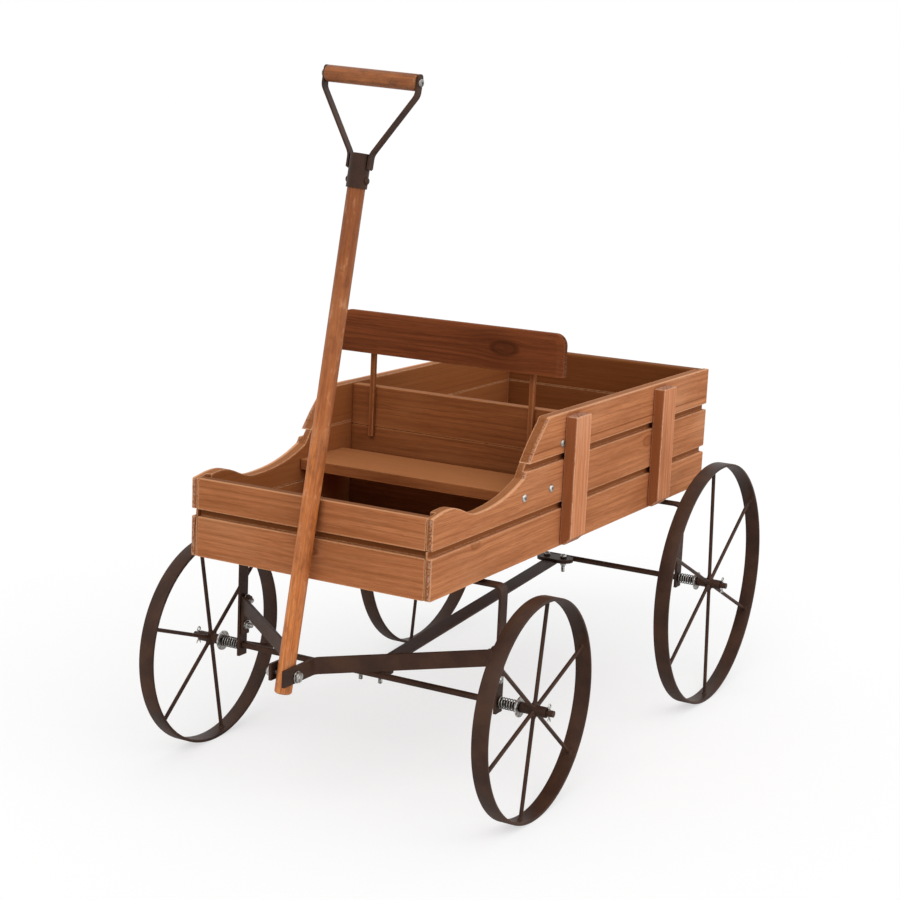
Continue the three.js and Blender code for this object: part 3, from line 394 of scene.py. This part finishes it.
def turned(bm, profile, stand, sides=32, closed=False):
    """Turns a profile of (radius, height) points in millimetres about a frame's z axis."""
    rings = []
    for radius, height in profile:
        if radius < 1e-6:
            rings.append([bm.verts.new(stand @ Vector((0, 0, height * MM)))])
            continue
        ring = []
        for k in range(sides):
            angle = 2 * math.pi * k / sides
            ring.append(bm.verts.new(stand @ Vector(
                (radius * MM * math.cos(angle), radius * MM * math.sin(angle), height * MM))))
        rings.append(ring)
    pairs = list(zip(rings, rings[1:]))
    if closed:
        pairs.append((rings[-1], rings[0]))
    for lower, upper in pairs:
        for k in range(sides):
            after = (k + 1) % sides
            corners = [lower[k % len(lower)], lower[after % len(lower)],
                       upper[after % len(upper)], upper[k % len(upper)]]
            unique = list(dict.fromkeys(corners))
            if len(unique) > 2:
                bm.faces.new(unique)


def wire(bm, points, radius, sides=10):
    """A round wire of one thickness along a line of places in metres, with a rounded cap at each end."""
    tangents = [(points[min(i + 1, len(points) - 1)] - points[max(i - 1, 0)]).normalized()
                for i in range(len(points))]
    normal = tangents[0].orthogonal().normalized()
    tips = (0, len(points) - 1)
    rings = []
    for i, (place, along) in enumerate(zip(points, tangents)):
        normal = (normal - along * normal.dot(along)).normalized()
        across = along.cross(normal)
        size = radius * MM * (0.6 if i in tips else 1)
        rings.append([bm.verts.new(place + (normal * math.cos(2 * math.pi * k / sides)
                                            + across * math.sin(2 * math.pi * k / sides)) * size)
                      for k in range(sides)])
    for lower, upper in zip(rings, rings[1:]):
        for k in range(sides):
            after = (k + 1) % sides
            bm.faces.new((lower[k], lower[after], upper[after], upper[k]))
    bm.faces.new(rings[0][::-1])
    bm.faces.new(rings[-1])


def hexagon(bm, stand, width, low, high, chamfer=0.6):
    """A nut or bolt head with its corners turned off at both ends; width is measured across its flats."""
    flats = width / 2
    sides = 48
    rings = []
    for height, lift in ((low, 1), (low + chamfer * 0.6, 0), (high - chamfer * 0.6, 0), (high, 1)):
        ring = []
        for k in range(sides):
            angle = 2 * math.pi * k / sides
            nearest = angle - math.pi / 3 * round(angle / (math.pi / 3))
            reach = flats / math.cos(nearest)
            if lift:
                reach = min(reach, flats * 0.98)
                level = height
            else:
                corner = (reach - flats) * 0.45
                level = height + corner if height < (low + high) / 2 else height - corner
            ring.append(bm.verts.new(stand @ Vector(
                (reach * MM * math.cos(angle), reach * MM * math.sin(angle), level * MM))))
        rings.append(ring)
    for lower, upper in zip(rings, rings[1:]):
        for k in range(sides):
            after = (k + 1) % sides
            bm.faces.new((lower[k], lower[after], upper[after], upper[k]))
    bm.faces.new(rings[0][::-1])
    bm.faces.new(rings[-1])


def threaded(bm, stand, radius, low, high, pitch=0.7):
    """A threaded rod's end, as a stack of ridges with a chamfered tip."""
    profile = [(0, low), (radius, low)]
    turns = max(2, int((high - low - 0.5) / pitch))
    for i in range(turns):
        base = low + (high - low - 0.5) * i / turns
        profile += [(radius, base + pitch * 0.25), (radius * 0.86, base + pitch * 0.6)]
    profile += [(radius, high - 0.5), (radius * 0.7, high), (0, high)]
    turned(bm, profile, stand, 20)


def ring_profile(inner, outer, low, high, edge):
    """A closed section with rounded corners, for a band, tube or washer."""
    corners = [(inner, low, 180, 270), (outer, low, 270, 360), (outer, high, 0, 90), (inner, high, 90, 180)]
    points = []
    for radius, height, start, end in corners:
        middle_r = radius + edge * (1 if radius == inner else -1)
        middle_h = height + edge * (1 if height == low else -1)
        for k in range(4):
            angle = math.radians(start + (end - start) * k / 3)
            points.append((middle_r + edge * math.cos(angle), middle_h + edge * math.sin(angle)))
    return points


def along_y(x, y, z, way=1):
    """A frame at a place whose z axis points along y, to the right or (way -1) to the left."""
    return Matrix.Translation(spot(x, y, z)) @ Matrix.Rotation(-way * math.pi / 2, 4, "X")


def upright(x, y, z):
    return Matrix.Translation(spot(x, y, z))


def piece(name, bm, material, body, slot, *stands_for):
    bmesh.ops.recalc_face_normals(bm, faces=bm.faces)
    mesh = bpy.data.meshes.new(name)
    bm.to_mesh(mesh)
    bm.free()
    mesh.shade_smooth()
    mesh.set_sharp_from_angle(angle=math.radians(38))
    mesh.materials.append(material)
    made = bpy.data.objects.new(name, mesh)
    bpy.context.collection.objects.link(made)
    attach(made, body)
    if stands_for:
        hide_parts(*stands_for)
    return made


def smooth_by_angle():
    """A modifier group that shades faces smooth across every edge flatter than 32 degrees."""
    group = bpy.data.node_groups.new("smooth_by_angle", "GeometryNodeTree")
    group.is_modifier = True
    group.interface.new_socket("Geometry", in_out="INPUT", socket_type="NodeSocketGeometry")
    group.interface.new_socket("Geometry", in_out="OUTPUT", socket_type="NodeSocketGeometry")
    start = group.nodes.new("NodeGroupInput")
    angle = group.nodes.new("GeometryNodeInputMeshEdgeAngle")
    flat = group.nodes.new("FunctionNodeCompare")
    flat.operation = "LESS_THAN"
    flat.inputs[1].default_value = math.radians(32)
    edges = group.nodes.new("GeometryNodeSetShadeSmooth")
    edges.domain = "EDGE"
    faces = group.nodes.new("GeometryNodeSetShadeSmooth")
    faces.domain = "FACE"
    end = group.nodes.new("NodeGroupOutput")
    group.links.new(angle.outputs["Unsigned Angle"], flat.inputs[0])
    group.links.new(start.outputs[0], edges.inputs["Geometry"])
    group.links.new(flat.outputs[0], edges.inputs["Shade Smooth"])
    group.links.new(edges.outputs[0], faces.inputs["Geometry"])
    group.links.new(faces.outputs[0], end.inputs[0])
    return group


SMOOTH = smooth_by_angle()


def dress(name, material, edge):
    """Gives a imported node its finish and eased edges, edge millimetres wide."""
    made = nodes[name]
    made.data.materials.clear()
    made.data.materials.append(material)
    weld = made.modifiers.new("weld", "WELD")
    weld.merge_threshold = 0.00001
    if edge:
        ease = made.modifiers.new("eased_edges", "BEVEL")
        ease.width = edge * MM
        ease.segments = 2
        ease.limit_method = "ANGLE"
        ease.angle_limit = math.radians(32)
        ease.use_clamp_overlap = True
        ease.harden_normals = False
    smooth = made.modifiers.new("smooth", "NODES")
    smooth.node_group = SMOOTH
    even = made.modifiers.new("even_normals", "WEIGHTED_NORMAL")
    even.keep_sharp = True


# ---------------------------------------------------------------- wheels and axle ends

RIM_THICKNESS, RIM_WIDTH = 2.5, 14
HUB_BORE, HUB_RADIUS, HUB_LENGTH = 3.0, 4.3, 22.9
SPOKES, SPOKE_RADIUS = 6, 1.68
WHEEL_TURNS = {"front_left": 21, "front_right": 41.5, "rear_left": 34.5, "rear_right": 22}  # degrees


def spoked_wheel(place, turn, iron):
    end, side = place.split("_")
    radius = WHEEL_RADIUS[end]
    middle = (AXLE_X[end], SIDES[side] * WHEEL_MIDDLE, radius)
    centre = along_y(*middle)
    bm = bmesh.new()
    rim = ring_profile(radius - RIM_THICKNESS, radius, -RIM_WIDTH / 2, RIM_WIDTH / 2, 0.55)
    turned(bm, rim, centre, 180, closed=True)
    hub = ring_profile(HUB_BORE, HUB_RADIUS, -HUB_LENGTH / 2, HUB_LENGTH / 2, 0.35)
    turned(bm, hub, centre, 40, closed=True)
    reach = radius - RIM_THICKNESS + 0.4
    profile = [(0, 3.3), (3.0, 3.3), (2.7, 4.8), (2.0, 6.2), (SPOKE_RADIUS, 7.6)]
    profile += [(SPOKE_RADIUS, reach * 0.5), (SPOKE_RADIUS, reach - 2.6), (1.9, reach - 1.6),
                (2.4, reach - 0.9), (3.1, reach - 0.3), (0, reach)]
    for i in range(SPOKES):
        angle = math.radians(turn + 360 / SPOKES * i)
        outward = Vector((math.cos(angle), 0, math.sin(angle)))
        stand = (Matrix.Translation(spot(*middle))
                 @ outward.to_track_quat("Z", "Y").to_matrix().to_4x4())
        turned(bm, profile, stand, 20)
    piece(f"spoked_wheel_{place}", bm, iron, f"wheel_{place}", "iron", f"wheel_{place}")


def wound_spring(end, side, steel):
    sign = SIDES[side]
    radius, wire_radius, length, curls = 4.4, 0.52, 17.4, 7
    steps = 26
    points = []
    start = spot(AXLE_X[end], sign * (LEG_OUTER + 0.3), WHEEL_RADIUS[end])
    for i in range(-8, curls * steps + 9):
        turn = 2 * math.pi * i / steps
        rise = min(max(i / (curls * steps), 0), 1)
        y = wire_radius + (length - 2 * wire_radius) * rise
        points.append(start + Vector((radius * math.cos(turn), sign * y, radius * math.sin(turn))) * MM)
    bm = bmesh.new()
    wire(bm, points, wire_radius, 10)
    name = f"{end}_{side}"
    piece(f"wound_spring_{name}", bm, steel, "cart", "zinc", f"wheel_spring_{name}")


def split_pin(end, side, zinc):
    """Two half wires side by side through the axle, joined in an eye above and splayed below."""
    centre = spot(AXLE_X[end], SIDES[side] * PIN_MIDDLE, WHEEL_RADIUS[end])
    half, eye, thick = 0.5, 1.9, 0.62
    points = [(2.7, -7.6), (1.9, -5.9), (1.0, -4.5), (half, -3.6), (half, -1.5), (half, 1.5), (half, 3.4)]
    for k in range(13):
        angle = math.radians(-70 + 320 * k / 12)
        points.append((eye * math.cos(angle), 5.4 + eye * math.sin(angle)))
    points += [(-half, 3.4), (-half, 1.5), (-half, -1.5), (-half, -3.6), (-1.0, -4.5), (-2.1, -5.7),
               (-3.2, -6.9)]
    bm = bmesh.new()
    wire(bm, [centre + Vector((u, 0, w)) * MM for u, w in points], thick, 10)
    name = f"{end}_{side}"
    piece(f"split_pin_{name}", bm, zinc, "cart", "zinc", f"cotter_pin_{name}")


# ---------------------------------------------------------------- fasteners

def side_screws(zinc):
    for side, sign in SIDES.items():
        for count, (x, height) in enumerate(((148, 54), (196.5, 54), (214, 89.5)), 1):
            bm = bmesh.new()
            stand = along_y(x, sign * SIDE_FACE, BOX_BOTTOM + height, sign)
            turned(bm, [(0, -6), (1.6, -6), (1.6, 0), (3.4, 0), (3.4, 0.4), (3.0, 1.0), (2.2, 1.45),
                        (1.3, 1.6), (1.15, 0.8), (0, 0.6)], stand, 28)
            piece(f"side_screw_{side}_{count}", bm, zinc, "cart", "zinc")


def plate_bolts(zinc, iron):
    for end, x, spread, shank in (("rear", 443.9, 9.0, -11.6), ("front", 101.9, 9.6, -10.2)):
        level = WHEEL_RADIUS[end]
        for side, sign in SIDES.items():
            stand = upright(x, sign * spread, level)
            bm = bmesh.new()
            turned(bm, [(0, 2.3), (3.4, 2.3), (3.4, 3.1), (3.1, 3.3), (0, 3.3)], stand, 28)
            piece(f"plate_collar_{end}_{side}", bm, iron, "cart", "iron")
            bm = bmesh.new()
            square = stand @ Matrix.Rotation(math.radians(18 * sign), 4, "Z")
            hexagon(bm, square, 5.6, 3.3, 5.3, 0.5)
            threaded(bm, stand, 1.9, 5.3, 6.3)
            turned(bm, ring_profile(2.0, 3.6, -2.6, -1.7, 0.2), stand, 28, closed=True)
            down = stand @ Matrix.Rotation(math.pi, 4, "X")
            hexagon(bm, down, 5.6, 2.7, 4.9, 0.5)
            threaded(bm, down, 1.9, 4.9, -shank)
            piece(f"plate_bolt_{end}_{side}", bm, zinc, "cart", "zinc")


def leg_bolts(zinc, iron):
    for side, sign in SIDES.items():
        for name, z, width, material, slot in (("upper", 131.5, 8.0, iron, "iron"),
                                               ("lower", 109.3, 6.4, zinc, "zinc")):
            bm = bmesh.new()
            inside = along_y(AXLE_X["front"], sign * LEG_INNER, z, -sign)
            turned(bm, ring_profile(2.0, width * 0.62, 0, 0.7, 0.2), inside, 32, closed=True)
            threaded(bm, inside, 2.0, 3.3, 6.6)
            piece(f"leg_bolt_end_{name}_{side}", bm, zinc, "cart", "zinc")
            bm = bmesh.new()
            hexagon(bm, inside, width, 0.7, 3.4, 0.5)
            outside = along_y(AXLE_X["front"], sign * LEG_OUTER, z, sign)
            turned(bm, [(0, 0), (3.3, 0), (3.2, 0.7), (2.5, 1.5), (1.4, 1.9), (0, 2.0)], outside, 28)
            piece(f"leg_bolt_{name}_{side}", bm, material, "cart", slot)


def pivot_bolt(zinc):
    outer = 10.8
    bm = bmesh.new()
    head = along_y(PIVOT_X, -outer, PIVOT_Z, -1)
    turned(bm, ring_profile(2.9, 5.0, 0, 0.6, 0.2), head, 40, closed=True)
    hexagon(bm, head, 7.7, 0.6, 3.0, 0.6)
    turned(bm, [(0, 3.0), (2.3, 3.0), (2.0, 3.25), (0, 3.3)], head, 28)
    nut = along_y(PIVOT_X, outer, PIVOT_Z, 1)
    turned(bm, ring_profile(2.9, 5.0, 0, 0.6, 0.2), nut, 40, closed=True)
    hexagon(bm, nut, 7.7, 0.6, 4.6, 0.6)
    threaded(bm, nut, 2.9, 4.6, 6.6, 0.8)
    shank = along_y(PIVOT_X, 0, PIVOT_Z, 1)
    turned(bm, [(0, -outer), (2.9, -outer), (2.9, outer), (0, outer)], shank, 28)
    piece("pivot_bolt", bm, zinc, "cart", "zinc", "handle_pivot_bolt")


def handle_fasteners(steel, iron):
    socket_radius, socket_rivet_rise, grip_rise = 8.1, 382.6, 459
    for side, sign in SIDES.items():
        rivet = HANDLE @ Matrix.Translation(Vector((0, sign * socket_radius, socket_rivet_rise)) * MM)
        rivet = rivet @ Matrix.Rotation(-sign * math.pi / 2, 4, "X")
        bm = bmesh.new()
        turned(bm, [(0, -3), (1.7, -3), (1.7, 0), (2.8, 0), (2.8, 0.35), (2.45, 1.1), (1.6, 1.7), (0, 2.0)],
               rivet, 28)
        piece(f"socket_rivet_{side}", bm, iron, "handle", "iron")
        face = 42.4
        screw = HANDLE @ Matrix.Translation(Vector((0, sign * face, grip_rise)) * MM)
        screw = screw @ Matrix.Rotation(-sign * math.pi / 2, 4, "X")
        bm = bmesh.new()
        turned(bm, [(0, -16), (1.0, -14), (1.6, -12), (1.6, 0), (3.2, 0), (3.2, 0.4), (2.9, 1.0), (2.1, 1.45),
                    (1.1, 1.6), (1.0, 0.9), (0, 0.7)], screw, 28)
        piece(f"grip_screw_head_{side}", bm, steel, "handle", "zinc", f"grip_screw_{side}")
        weld = HANDLE @ Matrix.Translation(Vector((0, sign * 8.9, 391.7)) * MM)
        bm = bmesh.new()
        beads = [weld @ (Vector((u, sign * (0.25 + 0.12 * math.sin(u * 3)), 0.25 * math.sin(u * 2.1))) * MM)
                 for u in (-3.2, -2.4, -1.6, -0.8, 0, 0.8, 1.6, 2.4, 3.2)]
        wire(bm, beads, 0.85, 10)
        piece(f"strap_weld_{side}", bm, iron, "handle", "iron")


# ---------------------------------------------------------------- the wagon

def dress_wood():
    knots = {"side_board_left_lower": [(-0.196, 0.2225, 0.0034)],
             "side_board_left_middle": [(0.13, 0.256, 0.005)],
             "front_board_lower": [(-0.002, 0.214, 0.0035)],
             "side_board_right_lower": [(0.05, 0.21, 0.005)], "rear_board_lower": [(0.03, 0.21, 0.004)],
             "backrest_board": [(-0.055, 0.3555, 0.006)]}
    seed = 1.0
    for name in sorted(nodes):
        seed += 1.37
        groove = None
        scored = ()
        dark_face = None
        if name.startswith("side_board"):
            along, across, tone = X_AXIS, Z_AXIS, SIDE_TONE
            groove = (Y_AXIS, SIDE_FACE * MM)
            scored = ((BOX_BOTTOM + SCORED_RISE) * MM,) if name.endswith("upper") else ()
        elif name.startswith("front_board"):
            along, across, tone = Y_AXIS, Z_AXIS, FRONT_TONE
            groove = (X_AXIS, -BOX_FRONT * MM)
        elif name.startswith("rear_board"):
            along, across, tone = Y_AXIS, Z_AXIS, FRONT_TONE
            groove = (X_AXIS, (BOX_LENGTH + BOX_FRONT) * MM)
        elif name.startswith("batten"):
            along, across, tone = Z_AXIS, X_AXIS, BATTEN_TONE
            dark_face = -X_AXIS
        elif name.startswith("backrest_post"):
            along, across, tone = Z_AXIS, Y_AXIS, INNER_TONE
        elif name.startswith("floor_slat"):
            along, across, tone = X_AXIS, Y_AXIS, INNER_TONE
        elif name.startswith("partition"):
            along, across, tone = Y_AXIS, Z_AXIS, INNER_TONE
        elif name == "seat_board":
            along, across, tone = Y_AXIS, X_AXIS, INNER_TONE
        elif name == "backrest_board":
            along, across, tone = Y_AXIS, Z_AXIS, BACK_TONE
        else:
            continue
        wood = stained_wood(name + "_wood", along, across, tone, seed, knots.get(name, ()), scored,
                            dark_face, groove)
        dress(name, wood, 0.5 if "post" in name else 0.9)


def dress_handle(iron):
    axis = HANDLE.to_3x3() @ Z_AXIS
    cross = HANDLE.to_3x3() @ Y_AXIS
    pole = stained_wood("pole_wood", axis, cross, POLE_TONE, 3.3, gloss=0.2, patches=0.45, sheen=0.3,
                         darker_from=(PIVOT.dot(axis) + 0.1, PIVOT.dot(axis) + 0.37))
    grip = stained_wood("grip_wood", cross, axis, GRIP_TONE, 7.9, gloss=0.2, patches=0.5, sheen=0.35)
    dress("handle_pole", pole, 0.4)
    dress("handle_grip", grip, 0.5)
    dress("handle_socket", iron, 0.2)
    for side in SIDES:
        dress(f"handle_strap_{side}", iron, 0.35)


def build():
    iron = painted_iron("brown_powder_coat", IRON_TONE)
    zinc = zinc_plate("bright_zinc")
    steel = zinc_plate("spring_steel", "#5b5855", "#a9a6a1")
    dress_wood()
    dress_handle(iron)
    for end in ENDS:
        dress(f"arch_{end}", iron, 0.4)
        dress(f"axle_{end}", iron, 0.25)
        for side in SIDES:
            dress(f"wheel_washer_{end}_{side}", zinc, 0.2)
            wound_spring(end, side, steel)
            split_pin(end, side, zinc)
    dress("centre_beam", iron, 0.3)
    for side in SIDES:
        dress(f"drawbar_arm_{side}", iron, 0.4)
    for place, turn in WHEEL_TURNS.items():
        spoked_wheel(place, turn, iron)
    side_screws(zinc)
    plate_bolts(zinc, iron)
    leg_bolts(zinc, iron)
    pivot_bolt(zinc)
    handle_fasteners(steel, iron)


place_camera()
studio()
build()
bpy.context.scene.view_settings.view_transform = "Standard"
bpy.context.view_layer.update()
